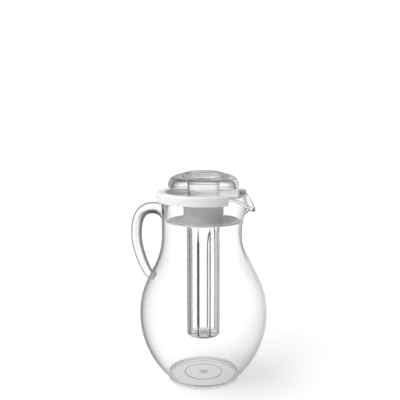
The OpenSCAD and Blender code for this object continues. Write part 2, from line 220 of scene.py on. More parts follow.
def ring_object(name, rings, closed):
    """One closed skin over rings of equally many points, in millimetres. Where closed is true, the last
    ring joins the first, and otherwise both get a cap."""
    count = len(rings[0])
    points = np.concatenate(rings) * MM
    faces = []
    for k in range(len(rings) if closed else len(rings) - 1):
        low, high = k * count, (k + 1) % len(rings) * count
        for i in range(count):
            j = (i + 1) % count
            faces.append((low + i, low + j, high + j, high + i))
    if not closed:
        faces.append(tuple(reversed(range(count))))
        faces.append(tuple(range(len(points) - count, len(points))))
    mesh = bpy.data.meshes.new(name)
    mesh.from_pydata([tuple(p) for p in points], [], faces)
    work = bmesh.new()
    work.from_mesh(mesh)
    bmesh.ops.remove_doubles(work, verts=work.verts, dist=weld_gap * MM)
    bare = [side for side in work.edges if not side.link_faces]
    bmesh.ops.delete(work, geom=bare, context="EDGES")
    bmesh.ops.recalc_face_normals(work, faces=work.faces)
    work.to_mesh(mesh)
    work.free()
    return new_object(name, mesh)


def rounded(corners, steps=5):
    """A closed outline through corners (r, z, fillet radius)."""
    outline = []
    for i, (r, z, fillet) in enumerate(corners):
        here = Vector((r, z))
        back = (Vector(corners[i - 1][:2]) - here).normalized()
        on = (Vector(corners[(i + 1) % len(corners)][:2]) - here).normalized()
        if not fillet:
            outline.append((r, z))
            continue
        half = back.angle(on) / 2
        centre = here + (back + on).normalized() * fillet / sin(half)
        start = here + back * fillet / tan(half) - centre
        end = here + on * fillet / tan(half) - centre
        turn = start.angle_signed(end)
        for k in range(steps + 1):
            a = -turn * k / steps
            outline.append(tuple(centre + Vector((
                start.x * cos(a) - start.y * sin(a), start.x * sin(a) + start.y * cos(a)))))
    return outline


def spaced(outline, longest):
    """The same closed outline, with no stretch longer than longest."""
    out = []
    for i, (r, z) in enumerate(outline):
        r2, z2 = outline[(i + 1) % len(outline)]
        n = max(1, int(np.ceil(sqrt((r2 - r) ** 2 + (z2 - z) ** 2) / longest)))
        out += [(r + (r2 - r) * k / n, z + (z2 - z) * k / n) for k in range(n)]
    return out


def arc(centre, r, start, end, steps=8):
    """Points round a centre (r, z), from a start to an end angle in degrees."""
    return [(centre[0] + r * cos(radians(b)), centre[1] + r * sin(radians(b)))
            for b in np.linspace(start, end, steps + 1)]


def curve_through(points, steps=4):
    """A smooth line through points, as a Catmull-Rom spline."""
    p = [np.array(q, float) for q in points]
    p = [2 * p[0] - p[1]] + p + [2 * p[-1] - p[-2]]
    out = []
    for i in range(1, len(p) - 2):
        for k in range(steps):
            t = k / steps
            out.append(tuple(0.5 * (
                2 * p[i] + (p[i + 1] - p[i - 1]) * t
                + (2 * p[i - 1] - 5 * p[i] + 4 * p[i + 1] - p[i + 2]) * t ** 2
                + (3 * p[i] - p[i - 1] - 3 * p[i + 1] + p[i + 2]) * t ** 3)))
    return out + [tuple(p[-2])]


def level_ring(radii, azimuths, z):
    """Points at one height, with azimuths in degrees."""
    a = np.radians(azimuths)
    return np.stack([radii * np.cos(a), radii * np.sin(a), np.full(len(azimuths), float(z))], axis=1)


def lathe(name, outline, segments=turn_steps, reshape=None):
    """Turns a closed outline about the axis. reshape(r, a, z) may move the radii, with a in degrees."""
    azimuths = np.arange(segments) * 360 / segments
    rings = []
    for r, z in outline:
        radii = np.full(segments, float(r))
        if reshape is not None:
            radii = reshape(radii, azimuths, z)
        rings.append(level_ring(radii, azimuths, z))
    return ring_object(name, rings, closed=True)


def bezier(p, t):
    """The point at share t of a cubic curve with control points p."""
    p = np.array(p, float)
    return (1 - t) ** 3 * p[0] + 3 * (1 - t) ** 2 * t * p[1] + 3 * (1 - t) * t ** 2 * p[2] + t ** 3 * p[3]


def bezier_way(p, t):
    """The direction of that curve at share t, of length 1."""
    p = np.array(p, float)
    way = (1 - t) ** 2 * (p[1] - p[0]) + 2 * (1 - t) * t * (p[2] - p[1]) + t ** 2 * (p[3] - p[2])
    return way / np.linalg.norm(way)


def inward(p, t):
    """The point one wall thickness inside a curve of the belly."""
    way = bezier_way(p, t)
    return bezier(p, t) - jug_wall * np.array([way[1], -way[0]])


# Jug: the plan of the rim, the droop of the lip and the dents of the throat

tip_x = spout_reach - bead_r - spout_tip_r
spout_half = degrees(acos((bead_ring - spout_tip_r) / tip_x))
tip_half = degrees(atan2(
    spout_tip_r * sin(radians(spout_half)), tip_x + spout_tip_r * cos(radians(spout_half))))
angle_probe = 0.5
height_probe = 0.2


def rim_ray(a):
    """Radius of the rim at azimuth a: a circle, a straight side and the round tip of the spout."""
    if a >= spout_half:
        return bead_ring
    if a <= tip_half:
        return tip_x * cos(radians(a)) + sqrt(spout_tip_r ** 2 - (tip_x * sin(radians(a))) ** 2)
    return bead_ring / cos(radians(spout_half - a))


def hump(x):
    """A soft hump that is 1 at 0 and ends at -1 and 1."""
    return 0 if abs(x) >= 1 else cos(pi / 2 * x) ** 2


def share_down(z):
    """How far down the spout a height lies, from 0 at the rim to 1 where the spout ends."""
    return min(1, max(0, (bead_z - z) / spout_depth))


def wall_point(a, r, z):
    """The neck's wall at azimuth a and height z, drawn out towards the lip and pinched beside it."""
    lip = (rim_ray(abs(a)) - bead_ring) * (1 - share_down(z)) ** lip_power
    droop = 0 if abs(a) >= spout_half else (1 - abs(a) / spout_half) ** droop_power
    dent = hump((abs(a) - pinch_angle) / pinch_half_angle) * hump((bead_z - z - pinch_drop) / pinch_half_drop)
    out = r + lip - pinch_depth * dent
    return np.array([
        out * cos(radians(a)), out * sin(radians(a)), z - spout_drop * droop * (1 - share_down(z))])


def inner_point(a, z, depth):
    """The point that lies depth inside the drawn outside of the neck."""
    side = wall_point(a + angle_probe, neck_r, z) - wall_point(a - angle_probe, neck_r, z)
    rise = wall_point(a, neck_r, z + height_probe) - wall_point(a, neck_r, z - height_probe)
    normal = np.cross(side, rise)
    return wall_point(a, neck_r, z) - depth * normal / np.linalg.norm(normal)


def bead_point(a, b):
    """The point at angle b round the rim's bead, at azimuth a."""
    return wall_point(a, bead_ring, bead_z) + bead_r * np.array([
        cos(radians(b)) * cos(radians(a)), cos(radians(b)) * sin(radians(a)), sin(radians(b))])


low_rise = belly_z - foot_h
high_rise = neck_z - belly_z
low_curve = [
    [foot_top_r, foot_h],
    [foot_top_r + (belly_r - foot_top_r) * low_out_share, foot_h + low_rise * low_up_share],
    [belly_r, belly_z - low_rise * low_pull_share],
    [belly_r, belly_z]]
high_curve = [
    [belly_r, belly_z],
    [belly_r, belly_z + high_rise * belly_pull_share],
    [neck_r, neck_z - high_rise * neck_pull_share],
    [neck_r, neck_z]]


# Detail of the foot and the floor that the solid leaves out
foot_round = 2.7
foot_bulge = 0.4
groove_w = 0.9
groove_depth = 0.1
step_soft = 0.25
floor_corner = 2.5
floor_corner_run = 0.9

# Azimuths of the jug's mesh as (start, end, step), closer together at the spout and closest at its tip
azimuth_bands = ((0, 10, 0.5), (10, 46, 1), (46, 180, 2))

# Rings of the jug's mesh
foot_rings = 4
low_rings = 40
high_rings = 44
neck_rings = 34
bead_rings = 22
bead_start = -100
bead_end = 166
bead_joint = 0.4
centre_r = 0.4
corner_rings = 6
corner_start = 10
floor_shares = (0.6, 0.3, 0.01)

# Half the width of the painted shade on the step under the floor, which the mesh has rings for
step_line = 1.3


def jug_azimuths():
    """Azimuths all round, the same on both sides of the spout."""
    half = [a for start, end, step in azimuth_bands for a in np.arange(start, end, step)]
    return half + [180] + [-a for a in reversed(half[1:])]


def make_jug():
    """The jug, from rings that go up its outside, over the rim and down its inside."""
    azimuths = jug_azimuths()

    def turn(r, z):
        return np.array([[r * cos(radians(a)), r * sin(radians(a)), z] for a in azimuths])

    def wall(r, z):
        return np.array([wall_point(a, r, z) for a in azimuths])

    hollow_r = foot_r - foot_w
    disc_r = base_disc_d / 2
    boss_r = base_boss_d / 2
    disc_z = foot_hollow + base_disc_t
    soft = step_soft
    under = [
        (centre_r, foot_hollow), (boss_r - step_line, foot_hollow), (boss_r - soft, foot_hollow),
        (boss_r, foot_hollow + soft), (boss_r + soft, disc_z), (boss_r + step_line, disc_z),
        (disc_r - step_line, disc_z), (disc_r - soft, disc_z), (disc_r, foot_hollow + soft),
        (disc_r + soft, foot_hollow), (disc_r + step_line, foot_hollow),
        (hollow_r - 2 * edge, foot_hollow),
        (hollow_r - edge, foot_hollow - edge), (hollow_r, edge), (hollow_r + edge / 2, 0)]
    ring_r = foot_r + foot_bulge - foot_round
    belly_way = bezier_way(low_curve, 0)
    groove_top = foot_round + groove_w + foot_bulge
    outside = arc((ring_r, foot_round), foot_round, -90, 0)
    outside += [
        (foot_r + foot_bulge, foot_round + groove_w / 2),
        (foot_r - groove_depth, foot_round + groove_w), (foot_r, groove_top)]
    outside += [
        (foot_top_r - (foot_h - z) * belly_way[0] / belly_way[1], z)
        for z in np.linspace(groove_top, foot_h, foot_rings)]
    rings = [turn(r, z) for r, z in under + outside]
    rings += [turn(*bezier(low_curve, t)) for t in np.linspace(0, 1, low_rings)[1:-1]]
    rings += [wall(*bezier(high_curve, t)) for t in np.linspace(0, 1, high_rings)[:-1]]
    neck_top = bead_z - bead_r
    heights = np.linspace(neck_z, neck_top - bead_joint, neck_rings)
    rings += [wall(neck_r, z) for z in heights]
    rings += [
        np.array([bead_point(a, b) for a in azimuths])
        for b in np.linspace(bead_start, bead_end, bead_rings)]
    rings += [np.array([inner_point(a, z, jug_wall) for a in azimuths]) for z in reversed(heights)]
    rings += [wall(*inward(high_curve, t)) for t in np.linspace(1, 0, high_rings)[1:]]
    low = [inward(low_curve, t) for t in np.linspace(1, 0, low_rings)[1:]]
    low = [(r, z) for r, z in low if z > floor_z + floor_corner]
    rings += [turn(r, z) for r, z in low]
    last_r, last_z = low[-1]
    for b in np.linspace(corner_start, 90, corner_rings):
        rings.append(turn(
            last_r - floor_corner * (1 - cos(radians(b))) - floor_corner_run * floor_corner * b / 90,
            floor_z + (last_z - floor_z) * (1 - sin(radians(b)))))
    rings += [turn(foot_r * share, floor_z) for share in floor_shares]
    return ring_object("jug_shell", rings, closed=False)


# Handle: its middle line, in shares of its reach and span

bend = [[0, 0], [0.72, 0.075], [1, -0.06], [1, -0.385]]
grip = [[1, -0.385], [1, -0.58], [0.8, -0.8], [0.62, -0.93]]
foot = [[0.62, -0.93], [0.555, -0.975], [0.48, -1], [0.33, -1.01]]
bend_steps, grip_steps, foot_steps = 10, 8, 5
handle_last = bend_steps + grip_steps + foot_steps
bend_ease = 1.6
pad_steps = 4
pad_power = 2.5
taper_power = 2
way_step = 0.6
wall_clear = 0.6
bar_sides = 48
pad_rings = 25
bar_rings = 72
end_shares = (0.8, 0.55, 0.3, 0.05)
search_margin = 20
search_halvings = 40


def handle_centre(i):
    """The bar's middle line in x and z, at step i of its curves."""
    if i <= bend_steps:
        share = bezier(bend, (max(i, 0) / bend_steps) ** bend_ease)
    elif i <= bend_steps + grip_steps:
        share = bezier(grip, (i - bend_steps) / grip_steps)
    else:
        share = bezier(foot, min(1, (i - bend_steps - grip_steps) / foot_steps))
    return np.array([-neck_r - handle_reach * share[0], handle_top_z + handle_span * share[1]])


def handle_way(i):
    """The direction of the middle line at step i, of length 1."""
    way = handle_centre(min(i + way_step, handle_last)) - handle_centre(max(i - way_step, 0))
    return way / np.linalg.norm(way)


def handle_ring(i):
    """The bar's oval section at step i, which flares towards the pad on the neck."""
    centre = handle_centre(i)
    way = handle_way(i)
    half = (handle_d + (handle_end_d - handle_d) * (i / handle_last) ** taper_power) / 2
    pad = max(0, 1 - i / pad_steps) ** pad_power
    ring = []
    for j in range(bar_sides):
        b = 2 * pi * j / bar_sides
        reach = pad_rise if cos(b) > 0 else pad_drop
        up = (half + (reach - half) * pad) * cos(b)
        side = (half + (pad_w / 2 - half) * pad) * sin(b)
        ring.append([centre[0] + way[1] * up, side, centre[1] - way[0] * up])
    return np.array(ring)


wall_samples = 80
bond_gap = 0.04
belly_line = np.array(
    [bezier(low_curve, t) for t in np.linspace(0, 1, wall_samples)[:-1]]
    + [bezier(high_curve, t) for t in np.linspace(0, 1, wall_samples)] + [[neck_r, jug_h]])


def outside_wall(p):
    """How far a point lies outside the jug's wall."""
    return sqrt(p[0] ** 2 + p[1] ** 2) - np.interp(p[2], belly_line[:, 1], belly_line[:, 0]) - bond_gap


def seated(p):
    """The point moved along x onto the wall's surface."""
    low, high = -belly_r - search_margin, 0
    for _ in range(search_halvings):
        middle = (low + high) / 2
        if outside_wall((middle, p[1], p[2])) > 0:
            low = middle
        else:
            high = middle
    return np.array([low, p[1], p[2]])


def make_handle():
    """The handle, from rings along its bar and two ends that follow the wall of the jug."""
    steps = np.concatenate([
        np.linspace(0, pad_steps, pad_rings), np.linspace(pad_steps, handle_last, bar_rings)[1:]])
    rings = [handle_ring(i) for i in steps]
    first = np.array([seated(p) for p in rings[0]])
    body = [ring for ring in rings if min(outside_wall(p) for p in ring) > wall_clear]
    last = np.array([seated(p) for p in body[-1]])

    def closing(rim):
        """Rings on the wall that shrink from a rim to a point."""
        middle = rim.mean(axis=0)
        return [np.array([seated(middle + (p - middle) * share) for p in rim]) for share in end_shares]

    top = list(reversed(closing(first))) + [first]
    return ring_object("loop_handle", top + body + [last] + closing(last), closed=False)


# Threads

def ridge(azimuths, z, start, turns):
    """Height share of a helical ridge, as seen at one height."""
    height = np.zeros(len(azimuths))
    for k in range(-1, int(turns) + 2):
        turned = azimuths / 360 + k
        away = np.abs(z - start - thread_pitch * turned)
        flank = np.clip((thread_root_w / 2 - away) / (thread_root_w / 2 - thread_crest_w / 2), 0, 1)
        flank = flank * flank * (3 - 2 * flank)
        fade = np.clip(np.minimum(turned, turns - turned) / fade_turns, 0, 1)
        height = np.maximum(height, flank * fade)
    return height


def groove_above(z):
    """Height of the middle of the first groove of the collar's thread above z."""
    return rib_z + thread_pitch * (np.ceil((z - rib_z) / thread_pitch) + 0.5)


knob_ridge_z = groove_above(stem_z) + flank_play
knob_turns = (stem_z + knob_thread_l - knob_ridge_z) / thread_pitch
core_ridge_z = groove_above(shoulder_z) - flank_play
core_turns = (mouth_z - thread_root_w / 2 - core_ridge_z) / thread_pitch
thread_step = 0.2
same_r = 0.01


def thread_wall(r, low, high):
    """Closely spaced points up a straight wall that carries a thread."""
    outline = spaced([(r, low), (r, high)], thread_step)
    return outline[:len(outline) // 2 + 1]


def threaded(wall_r, sign, start, turns):
    """A reshape for lathe that puts a thread on the wall at one radius: outwards for 1, inwards for -1."""

    def reshape(radii, azimuths, z):
        if abs(radii[0] - wall_r) > same_r:
            return radii
        return radii + sign * thread_h * ridge(azimuths, z, start, turns)

    return reshape


# Lid and strainer: fillets and the longest stretches of their outlines

rim_edge = 0.6
seat_fillet = 0.4
dish_edge = 0.9 * lid_wall
collar_edge = 0.5
collar_fillet = 0.8
step_fillet = 0.2
spigot_edge = 0.3
rib_margin = 0.4
lid_stretch = 3
strainer_edge = 0.5
hub_edge = 0.3
hub_top_edge = 0.4
strainer_stretch = 4


def make_lid():
    """The lid in one turned outline, from the dish over the skirt to the collar and up its threaded bore."""
    dish_r = plug_r - lid_wall
    under_z = dish_z - dish_floor
    outline = rounded([
        (collar_bore_r, dish_z, collar_edge), (dish_r, dish_z, lid_wall), (dish_r, lid_z, dish_edge),
        (skirt_r, lid_z, lid_wall), (skirt_r, skirt_z, rim_edge), (skirt_r - lid_wall, skirt_z, rim_edge),
        (skirt_r - lid_wall, roof_z, seat_fillet), (plug_r, roof_z, seat_fillet),
        (plug_r, under_z, rim_edge), (collar_r, under_z, collar_fillet), (collar_r, step_z, collar_edge),
        (spigot_r, step_z, step_fillet), (spigot_r, collar_z, spigot_edge),
        (collar_bore_r, collar_z, spigot_edge)])
    bore = thread_wall(collar_bore_r, collar_z + rib_margin, dish_z - collar_edge)
    return lathe(
        "pouring_lid", spaced(outline, lid_stretch) + bore[1:],
        reshape=threaded(collar_bore_r, -1, rib_z, rib_turns))


strainer_r = bore_r - strainer_gap - pinch_depth * max(
    hump((bead_z - z - pinch_drop) / pinch_half_drop) for z in (collar_z, collar_z + strainer_t))
outer_hole_ring = strainer_r - hole_margin
inner_hole_ring = outer_hole_ring - hole_spacing


def make_strainer():
    """The strainer without its holes: a disc and a flared hub round the collar's spigot."""
    hub_r = spigot_r + hub_gap
    top_z = collar_z + strainer_t
    outline = rounded([
        (hub_r, collar_z, hub_edge), (hub_r, step_z, hub_edge), (collar_r, step_z, hub_top_edge),
        (collar_r, top_z, hub_flare), (strainer_r, top_z, strainer_edge),
        (strainer_r, collar_z, strainer_edge)])
    return lathe("strainer_disc", spaced(outline, strainer_stretch))


# Knob: the cap's outline, in shares of its radius and height

cap_shares = [
    (0.968, 0), (0.99, 0.1), (1, 0.24), (0.992, 0.37), (0.965, 0.5), (0.92, 0.62),
    (0.86, 0.715), (0.78, 0.79), (0.66, 0.87), (0.52, 0.945), (0.45, 0.985)]
hollow_shares = cap_shares[:7]
cap_flat_share = 0.43
cap_edge_round = 1.8
cap_edge_end = -10
stem_edge = 0.3
stem_overrun = 1


def make_knob():
    """The knob in one turned outline, from its bore down the stem and round the hollow cap to the dimple."""
    top = cap_z + knob_h
    cap_r = knob_d / 2
    dimple_z = top - dimple_depth
    bore_top = dimple_z - dimple_web
    dimple_r = dimple_d / 2
    inner = [(cap_r * s - knob_wall, cap_z + (knob_h - knob_wall) * h) for s, h in hollow_shares]
    hollow_z = inner[-1][1]
    outer = curve_through([(cap_r * s, cap_z + knob_h * h) for s, h in cap_shares])
    edge_r = outer[0][0]
    outer = [(r, z) for r, z in outer if z > cap_z + cap_edge_round]
    lower_edge = arc(
        (edge_r - cap_edge_round, cap_z + cap_edge_round), cap_edge_round, -90, cap_edge_end)
    stem = [
        (stem_bore_r, stem_z + stem_edge), (stem_bore_r + stem_edge, stem_z), (stem_r - stem_edge, stem_z)]
    stem += thread_wall(stem_r, stem_z + stem_edge, stem_z + knob_thread_l + stem_overrun)
    outline = (
        [(0, bore_top)] + arc((stem_bore_r - knob_wall, bore_top - knob_wall), knob_wall, 90, 0)
        + stem + arc((stem_r + knob_wall, hollow_z - knob_wall), knob_wall, 180, 90)
        + list(reversed(curve_through(inner))) + lower_edge + outer + [(cap_r * cap_flat_share, top)]
        + arc((dimple_r - knob_wall, dimple_z + knob_wall), knob_wall, 0, -90) + [(0, dimple_z)])
    return lathe("screw_knob", outline, reshape=threaded(stem_r, 1, knob_ridge_z, knob_turns))


# Ice tube and silicone rings

steps_per_lobe = 32
wall_rings = 12
bevel_out_share = 0.4
bevel_up_share = 0.3
mouth_edge = 0.4
thread_end = 0.5
thread_start = 0.2
bottom_edge = 1
bottom_bevel = 0.3
seal_edge = 0.3
seal_lip_edge = 0.4
seal_rim_edge = 0.5
seal_fillet_steps = 4


def lobe_ray(azimuths, inset):
    """Radius of the fluted outline, drawn in by inset."""
    off = np.radians((azimuths % (360 / lobes)) - 180 / lobes)
    middle = core_d / 2 - lobe_r
    return middle * np.cos(off) + np.sqrt((lobe_r - inset) ** 2 - (middle * np.sin(off)) ** 2)


def make_tube():
    """The tube, from its closed bottom up the lobed outside and the threaded neck and down the inside."""
    core_r = core_d / 2
    azimuths = np.arange(lobes * steps_per_lobe) * 360 / (lobes * steps_per_lobe)

    def round_ring(r, z):
        return level_ring(np.full(len(azimuths), float(r)), azimuths, z)

    def lobed_ring(r, z, inset=0):
        return level_ring(lobe_ray(azimuths, inset) + (r - core_r + inset), azimuths, z)

    def thread_ring(r, z):
        return level_ring(r + thread_h * ridge(azimuths, z, core_ridge_z, core_turns), azimuths, z)

    inside_z = shoulder_z - core_wall
    inner_z = core_z + core_bottom
    inner_r = core_r - core_wall
    shares = np.arange(1, wall_rings + 1) / wall_rings
    rings = [
        round_ring(0, core_z), lobed_ring(core_r - core_bevel, core_z),
        lobed_ring(core_r - core_bevel * bevel_out_share, core_z + core_bevel * bevel_up_share),
        lobed_ring(core_r, core_z + core_bevel)]
    rings += [
        lobed_ring(core_r, core_z + core_bevel + (core_l - core_bevel - edge) * share)
        for share in shares]
    rings += [lobed_ring(core_r - edge, shoulder_z)]
    rings += [
        thread_ring(r, z)
        for r, z in thread_wall(stem_r, shoulder_z + thread_start, mouth_z - thread_end)]
    rings += [
        round_ring(stem_r - mouth_edge, mouth_z), round_ring(stem_bore_r + mouth_edge, mouth_z),
        round_ring(stem_bore_r, mouth_z - mouth_edge), round_ring(stem_bore_r, shoulder_z),
        round_ring(stem_bore_r, inside_z)]
    rings += [
        lobed_ring(inner_r, inside_z - (inside_z - inner_z - bottom_edge) * share, core_wall)
        for share in shares]
    rings += [
        lobed_ring(inner_r - bottom_bevel, inner_z + bottom_bevel, core_wall),
        lobed_ring(inner_r - bottom_edge, inner_z, core_wall), round_ring(0, inner_z)]
    return ring_object("ice_core_tube", rings, closed=True)


def make_knob_seal():
    """The ring that closes the tube's mouth, with a sleeve inside the knob's stem."""
    sleeve_r = stem_bore_r - seal_gap
    sleeve_z = stem_z + knob_seal_sleeve
    outline = rounded([
        (sleeve_r - sleeve_t, knob_seal_z, seal_edge), (stem_r - seal_gap, knob_seal_z, seal_lip_edge),
        (stem_r - seal_gap, stem_z, seal_edge), (sleeve_r, stem_z, 0), (sleeve_r, sleeve_z, seal_edge),
        (sleeve_r - sleeve_t, sleeve_z, seal_edge)], seal_fillet_steps)
    return lathe("stem_seal", outline, seal_steps)


def make_core_seal():
    """The flat ring on the tube's shoulder."""
    inner_r = stem_r + seal_gap
    outer_r = core_seal_d / 2
    top_z = shoulder_z + core_seal_t
    outline = rounded([
        (inner_r, shoulder_z, seal_edge), (outer_r, shoulder_z, seal_rim_edge),
        (outer_r, top_z, seal_rim_edge), (inner_r, top_z, seal_edge)], seal_fillet_steps)
    return lathe("shoulder_seal", outline, seal_steps)


# Cuts

cut_overrun = 1
notch_steps = 16
hole_points = 20
bevel_spread = 1.5


def prism(name, levels):
    """A cutter through levels (outline in x and y, height)."""
    n = len(levels[0][0])
    last = n * (len(levels) - 1)
    points = [(x * MM, y * MM, z * MM) for outline, z in levels for x, y in outline]
    faces = [
        (k + i, k + (i + 1) % n, k + (i + 1) % n + n, k + i + n)
        for k in range(0, last, n) for i in range(n)]
    faces += [tuple(reversed(range(n))), tuple(range(last, last + n))]
    mesh = bpy.data.meshes.new(name)
    mesh.from_pydata(points, [], faces)
    return mesh


def cut(piece, meshes):
    """Takes the cutters away from a piece, with its corners kept sharp."""
    work = bmesh.new()
    for mesh in meshes:
        work.from_mesh(mesh)
    bmesh.ops.recalc_face_normals(work, faces=work.faces)
    joined = bpy.data.meshes.new("cutter")
    work.to_mesh(joined)
    work.free()
    cutter = bpy.data.objects.new("cutter", joined)
    bpy.context.scene.collection.objects.link(cutter)
    modifier = piece.modifiers.new("cut", "BOOLEAN")
    modifier.operation = "DIFFERENCE"
    modifier.solver = "EXACT"
    modifier.object = cutter
    bpy.context.view_layer.update()
    evaluated = piece.evaluated_get(bpy.context.evaluated_depsgraph_get())
    mesh = bpy.data.meshes.new_from_object(evaluated)
    piece.modifiers.clear()
    piece.data = mesh
    smooth(mesh)
    bpy.data.objects.remove(cutter)


def notch_cutter():
    """The opening in the lid over the spout: a round ledge, two round corners and two straight sides."""
    notch_r = collar_r + notch_ledge
    side = degrees(asin(notch_corner_r / (notch_r + notch_corner_r)))
    bend_at = notch_half - side
    far = 2 * skirt_r
    corner_reach = notch_r + notch_corner_r
    corner = [corner_reach * cos(radians(bend_at)), corner_reach * sin(radians(bend_at))]
    half = arc((0, 0), notch_r, 0, bend_at, notch_steps - 1)
    half += arc(corner, notch_corner_r, bend_at + 180, notch_half + 90)
    half += [(far * cos(radians(notch_half)), far * sin(radians(notch_half)))]
    outline = half + [(x, -y) for x, y in reversed(half[1:])]
    return prism("notch", [(outline, skirt_z - cut_overrun), (outline, lid_z + cut_overrun)])


def oval_cutter(ring_r, long, wide, slant, turn):
    """One oval hole at a radius and a turn about the axis, wider at its rims by a small bevel."""
    top_z = collar_z + strainer_t
    spread = bevel_spread * hole_bevel
    b = np.linspace(0, 2 * pi, hole_points, endpoint=False)
    levels = []
    for grow, z in (
            (spread, collar_z - hole_bevel / 2), (0, collar_z + hole_bevel),
            (0, top_z - hole_bevel), (spread, top_z + hole_bevel / 2)):
        x = (long / 2 + grow) * np.cos(b)
        y = (wide / 2 + grow) * np.sin(b)
        x, y = ring_r + x * cos(slant) - y * sin(slant), x * sin(slant) + y * cos(slant)
        levels.append((list(zip(x * cos(turn) - y * sin(turn), x * sin(turn) + y * cos(turn))), z))
    return prism("hole", levels)


def hole_cutters():
    """The strainer's two rings of oval holes, the inner ones halfway between the outer ones."""
    turns = [radians(360 * i / hole_count) for i in range(hole_count)]
    half_turn = radians(180 / hole_count)
    outer = [
        oval_cutter(outer_hole_ring, outer_hole_l, outer_hole_w, radians(outer_hole_slant), turn)
        for turn in turns]
    inner = [
        oval_cutter(inner_hole_ring, inner_hole_l, inner_hole_w, 0, turn + half_turn)
        for turn in turns]
    return outer + inner


# Materials

plastic_ior = 1.49
plastic_tint = 0.5
plastic_shadow = 0.88
plastic_depth_tone = 0.9
plastic_density = 40
# Near white that paints clear walls lighter where their mesh's painted shade is below 0
lightened_tone = 0.98
deepest_ray = 10
silicone_ior = 1.41

# Painted shade of clear plastic as (place, grey), where 0 is a wall that faces the eye and 1 a wall seen
# along its
# surface: greys that stand in for the dark edges that clear walls show by refraction. Each piece has them
# plain and shaded.
jug_edge_shade = [(0, 1), (0.25, 1), (0.42, 0.97), (0.56, 0.93), (0.7, 0.88), (0.85, 0.72), (1, 0.4)]
jug_shaded = [(0, 0.01), (1, 0.01)]
handle_edge_shade = [(0, 1), (0.22, 1), (0.34, 0.8), (0.44, 0.25), (0.56, 0.05), (1, 0.02)]
handle_shaded = [(0, 0.95), (0.03, 0.7), (0.12, 0.15), (0.25, 0.03), (0.45, 0.02), (0.7, 0.2), (1, 0.2)]
core_edge_shade = [(0, 1), (0.5, 0.95), (0.75, 0.6), (1, 0.3)]
core_shaded = [(0, 0.02), (1, 0.02)]
knob_edge_shade = [(0, 1), (0.5, 0.99), (0.7, 0.9), (0.87, 0.6), (1, 0.08)]
knob_shaded = [(0, 1), (0.3, 0.95), (0.5, 0.3), (0.65, 0.04), (1, 0.01)]


def material(name):
    """A new material and its empty node tree."""
    made = bpy.data.materials.new(name)
    made.use_nodes = True
    made.node_tree.nodes.clear()
    return made, made.node_tree


def grey(value):
    """An opaque grey for a colour socket."""
    return (value, value, value, 1)


def add(tree, kind, sockets=(), **settings):
    """A new node, with its constant sockets and its settings."""
    node = tree.nodes.new(kind)
    for name, value in settings.items():
        setattr(node, name, value)
    for name, value in dict(sockets).items():
        node.inputs[name].default_value = value
    return node


def noise(tree, scale, detail=2):
    """Soft mottling that stays on the piece, with scale as patches a metre."""
    coordinates = add(tree, "ShaderNodeTexCoord")
    node = add(tree, "ShaderNodeTexNoise", {"Scale": scale, "Detail": detail})
    tree.links.new(coordinates.outputs["Object"], node.inputs["Vector"])
    return node.outputs["Fac"]


def remap(tree, value, low, high, from_low=0.3, from_high=0.7):
    """Low to high as the value goes from from_low to from_high."""
    node = add(tree, "ShaderNodeMapRange", {
        "From Min": from_low, "From Max": from_high, "To Min": low, "To Max": high})
    tree.links.new(value, node.inputs["Value"])
    return node.outputs["Result"]


def link_math(tree, operation, *values):
    """A Math node over values, each a socket or a number."""
    node = add(tree, "ShaderNodeMath", operation=operation)
    for socket, value in zip(node.inputs, values):
        if isinstance(value, (int, float)):
            socket.default_value = value
        else:
            tree.links.new(value, socket)
    return node.outputs[0]


def mix_colours(tree, factor, first, second):
    """A mix of two colours, each a socket, a grey or a colour."""
    node = add(tree, "ShaderNodeMix", data_type="RGBA")
    tree.links.new(factor, node.inputs[0])
    for socket, value in zip((node.inputs[6], node.inputs[7]), (first, second)):
        if isinstance(value, (int, float)):
            socket.default_value = grey(value)
        elif isinstance(value, tuple):
            socket.default_value = (*value, 1)
        else:
            tree.links.new(value, socket)
    return node.outputs[2]


def tone_ramp(tree, value, stops):
    """Greys between stops (place, grey)."""
    ramp = add(tree, "ShaderNodeValToRGB")
    ramp.color_ramp.interpolation = "EASE"
    while len(ramp.color_ramp.elements) < len(stops):
        ramp.color_ramp.elements.new(0.5)
    for element, (share, tone) in zip(ramp.color_ramp.elements, stops):
        element.position = share
        element.color = grey(tone)
    tree.links.new(value, ramp.inputs[0])
    return ramp.outputs["Color"]


def mottle(tree, shader, tones, tone_scale, roughness, rough_scale):
    """Lets a shader's colour and roughness wander between two values each."""
    tree.links.new(mix_colours(tree, noise(tree, tone_scale), *tones), shader.inputs["Base Color"])
    tree.links.new(remap(tree, noise(tree, rough_scale), *roughness), shader.inputs["Roughness"])


def grain(tree, shader, strength, depth, scale, detail=2):
    """Gives a shader a fine relief, with its depth in millimetres."""
    bump = add(tree, "ShaderNodeBump", {"Strength": strength, "Distance": depth * MM})
    tree.links.new(noise(tree, scale, detail), bump.inputs["Height"])
    tree.links.new(bump.outputs["Normal"], shader.inputs["Normal"])


def mix_shaders(tree, factor, first, second):
    """A Mix Shader node between two shader nodes."""
    node = add(tree, "ShaderNodeMixShader")
    tree.links.new(factor, node.inputs[0])
    tree.links.new(first.outputs[0], node.inputs[1])
    tree.links.new(second.outputs[0], node.inputs[2])
    return node


def surface(tree, shader, kind="ShaderNodeOutputMaterial"):
    """Ends a tree in a shader, and gives the output node back."""
    out = add(tree, kind)
    tree.links.new(shader.outputs[0], out.inputs["Surface"])
    return out


